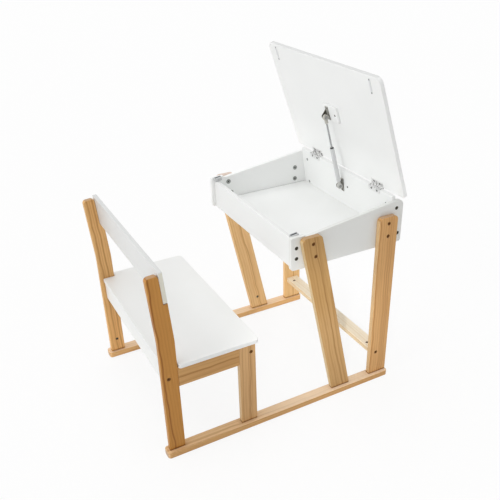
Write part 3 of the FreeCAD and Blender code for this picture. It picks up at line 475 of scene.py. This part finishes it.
def moulding(name, colour, shade, rough):
    """Moulded plastic with a fine spark-eroded skin."""
    plastic = Finish(name)
    point = plastic.place()
    skin = plastic.noise(point, 1500.0)
    flow = plastic.noise(point, 90.0, detail=3.0)
    tint = plastic.mix(plastic.ease(flow, 0.35, 0.7) * 0.6, paint(*colour), paint(*shade))
    plastic.use(
        Base_Color=tint,
        Roughness=rough + skin * 0.12,
        Normal=plastic.relief(skin, strength=0.16, depth=0.00006),
    )
    return plastic


moulding("catch_plastic", (206, 208, 208), (196, 198, 199), rough=0.42).dress("catches")
metal("pole_steel", (70, 72, 74), (104, 106, 108), rough=0.42).dress("catch_poles")
catch_zinc = metal(
    "catch_screw_zinc", (196, 197, 198), (176, 177, 178), rough=0.34, metallic=0.5
)
catch_zinc.dress("catch_screws")


# Lid: one white board, rounded at its front corners, that lifts up from the tray.
# A white pad screwed to its inner face carries the strut's upper bracket.
# Two bright strips are screwed under its front corners where the magnets meet it.
lid_rise = (0, -0.324, 0.946)
# Painted light and shade: the lid's white is painted a little lighter than the seat's, lighter
# still near the hinge, and its top edge darker.
lid_lacquer = lacquer("lid_lacquer", (243, 244, 243), (239, 240, 239))
pin_low, pin_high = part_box("hinge_pins")
pin_middle = (pin_low + pin_high) / 2
off_hinge = lid_lacquer.reach(lid_rise) - pin_middle.dot(Vector(lid_rise))
by_hinge = 1 - lid_lacquer.ease(off_hinge, 0.01, 0.16)
lid_lacquer.tinted(by_hinge * 0.9, (253, 254, 253))
lid_lacquer.edged(lid_rise, (220, 221, 220)).dress("lid")
lacquer("pad_lacquer", (245, 246, 245), (241, 242, 241)).dress("strut_pad")
strike_steel = metal(
    "strike_steel", (224, 225, 226), (208, 209, 210), rough=0.30, metallic=0.35
)
strike_steel.dress("lid_strikes")


# Hinges: pale, shiny sheet-steel leaves, rolled round a bright pin at the back edge of the tray.
# Dark countersunk screws hold one leaf to the lid and the other over the back panel.


def shiny_sheet(name, pin_y, pin_z):
    """Pale, shiny sheet steel with painted reflections: dark patches round the knuckle."""
    pale = paint(240, 240, 239)
    scuffed = paint(214, 215, 214)
    painted_reflection_dark = paint(104, 104, 102)
    sheet = Finish(name)
    point = sheet.place()
    back = sheet.dot(point, forward) - pin_y
    rise = sheet.dot(point, up) - pin_z
    off_pin = (back * back + rise * rise) ** 0.5
    knuckle = 1 - sheet.ease(off_pin, 0.010, 0.020)
    painted_reflection = sheet.ease(sheet.noise(point, 250.0, detail=1.0), 0.51, 0.60) * knuckle
    scuff = sheet.noise(point, 1400.0)
    tint = sheet.mix(sheet.ease(scuff, 0.45, 0.7) * 0.4, pale, scuffed)
    tint = sheet.mix(painted_reflection * 0.9, tint, painted_reflection_dark)
    sheet.use(
        Base_Color=tint,
        Metallic=0.3,
        Roughness=0.26 + scuff * 0.14,
        Normal=sheet.relief(scuff, strength=0.10, depth=0.00006),
    )
    return sheet


hinge_sheet = shiny_sheet("hinge_plate", pin_middle.y, pin_middle.z)
hinge_sheet.dress("hinge_frame_leaf_left", "hinge_frame_leaf_right")
hinge_sheet.dress("hinge_lid_leaf_left", "hinge_lid_leaf_right")
pin_steel = metal("pin_steel", (150, 150, 150), (180, 180, 180), rough=0.26)
pin_steel.dress("hinge_pins", "strut_lower_stud", "strut_upper_stud")
screw_steel = metal("screw_steel", (66, 66, 64), (100, 100, 98), rough=0.34, metallic=0.8)
screw_steel.dress("hinge_frame_screws", "hinge_lid_screws", "strut_lower_screws")
screw_steel.dress("strut_upper_screws", "strut_pad_screws", "lid_strike_screws")


# Gas strut: a pale painted tube with a black gland, and a chromed rod that slides in it.
# Moulded eyes sit on the studs of two bent steel brackets.
# One bracket is screwed to the tray's back panel and one to the lid's pad.
strut_paint = metal(
    "strut_paint", (216, 217, 218), (206, 207, 208), rough=0.34, metallic=0.2, grain=300.0
)
strut_paint.dress("strut_tube")
metal("strut_chrome", (178, 179, 181), (200, 201, 203), rough=0.16).dress("strut_rod")
gland_black = moulding("gland_black", (40, 40, 40), (58, 58, 58), rough=0.40)
gland_black.dress("strut_gland", "strut_piston")
tube_eye_plastic = moulding("tube_eye_plastic", (206, 206, 202), (194, 194, 190), rough=0.40)
tube_eye_plastic.dress("strut_tube_eye")
rod_eye_plastic = moulding("rod_eye_plastic", (192, 190, 182), (176, 174, 166), rough=0.40)
rod_eye_plastic.dress("strut_rod_eye")
bracket_steel = metal(
    "bracket_steel", (188, 187, 180), (150, 148, 140), rough=0.38, metallic=0.35
)
# Painted shade: the faces of the brackets that look sideways are painted dark.
bracket_steel.edged(rightward, (74, 72, 64))
bracket_steel.dress("strut_lower_bracket", "strut_upper_bracket")


# Studio: a sheet of white paper for a floor, two broad soft lamps and even light from all round.
# Two narrow lamps lift the inside of the tray and the footrest.
# The camera stands behind the bench, at the child's right, and looks down on the open desk.


def in_view(recipe):
    """1 for a ray from the camera or by way of a shiny or clear surface, else 0."""
    camera_ray = recipe.node("ShaderNodeLightPath", {}, {}, "Is Camera Ray")
    shiny_ray = recipe.node("ShaderNodeLightPath", {}, {}, "Is Glossy Ray")
    clear_ray = recipe.node("ShaderNodeLightPath", {}, {}, "Is Transmission Ray")
    return recipe.math("MAXIMUM", recipe.math("MAXIMUM", camera_ray, shiny_ray), clear_ray)


floor_half = 40.0
floor_drop = -0.0006
floor_mesh = bpy.data.meshes.new("studio_floor")
corners = [
    (-floor_half, -floor_half, floor_drop),
    (floor_half, -floor_half, floor_drop),
    (floor_half, floor_half, floor_drop),
    (-floor_half, floor_half, floor_drop),
]
floor_mesh.from_pydata(corners, [], [(0, 1, 2, 3)])
floor = bpy.data.objects.new("studio_floor", floor_mesh)
bpy.context.scene.collection.objects.link(floor)
white = (1, 1, 1, 1)
paper_white = (0.97, 0.97, 0.97, 1)
glow_share = 0.86
paper = Finish("studio_paper")
paper.use(Base_Color=paper_white, Roughness=0.9)
matt = Tap(paper, paper.shader.outputs[0])
glow = paper.node("ShaderNodeEmission", {}, {"Color": white, "Strength": 1.0})
seen_share = in_view(paper) * glow_share
seen_paper = paper.node("ShaderNodeMixShader", {}, {0: seen_share, 1: matt, 2: glow})
paper.feed(paper.found("OUTPUT_MATERIAL"), {"Surface": seen_paper})
floor.data.materials.append(paper.material)

world = bpy.data.worlds.new("studio_light")
bpy.context.scene.world = world
world.use_nodes = True
sky = Recipe(world.node_tree)
even = sky.node("ShaderNodeBackground", {}, {"Color": white, "Strength": 0.50})
backdrop = sky.node("ShaderNodeBackground", {}, {"Color": white, "Strength": 1.0})
seen_sky = sky.node("ShaderNodeMixShader", {}, {0: in_view(sky), 1: even, 2: backdrop})
sky.feed(sky.found("OUTPUT_WORLD"), {"Surface": seen_sky})

broad = math.radians(60)
for lamp_name, toward, strength in (
    ("top_lamp", (-0.10, -0.10, 1.0), 1.12),
    ("front_lamp", (0.0, -0.98, 0.20), 0.82),
):
    lamp_data = bpy.data.lights.new(lamp_name, "SUN")
    lamp_data.energy = strength
    lamp_data.angle = broad
    lamp = bpy.data.objects.new(lamp_name, lamp_data)
    lamp.rotation_euler = Vector(toward).to_track_quat("Z", "Y").to_euler()
    bpy.context.scene.collection.objects.link(lamp)

for lamp_name, strength, spread, softness, stand, aim in (
    ("tray_lamp", 32, 30, 0.35, (0.45, -1.85, 1.50), (0.0, 0.36, 0.53)),
    ("foot_lamp", 62, 17, 0.06, (1.50, -0.90, 1.30), (0.0, 0.34, 0.06)),
):
    spot_data = bpy.data.lights.new(lamp_name, "SPOT")
    spot_data.energy = strength
    spot_data.shadow_soft_size = softness
    spot_data.spot_size = math.radians(spread)
    spot_data.spot_blend = 1.0
    spot = bpy.data.objects.new(lamp_name, spot_data)
    spot.location = stand
    spot.rotation_euler = (Vector(stand) - Vector(aim)).to_track_quat("Z", "Y").to_euler()
    bpy.context.scene.collection.objects.link(spot)

camera_data = bpy.data.cameras.new("camera")
camera_data.sensor_width = 36
camera_data.lens = 47.33
camera_data.shift_x = -0.0560
camera_data.shift_y = 0.0564
camera = bpy.data.objects.new("camera", camera_data)
camera.location = (1.6874, -0.8187, 1.4292)
camera.rotation_euler = [math.radians(turn) for turn in (59.889, 0.402, 60.418)]
bpy.context.scene.collection.objects.link(camera)
bpy.context.scene.camera = camera

bpy.context.scene.view_settings.view_transform = "Standard"
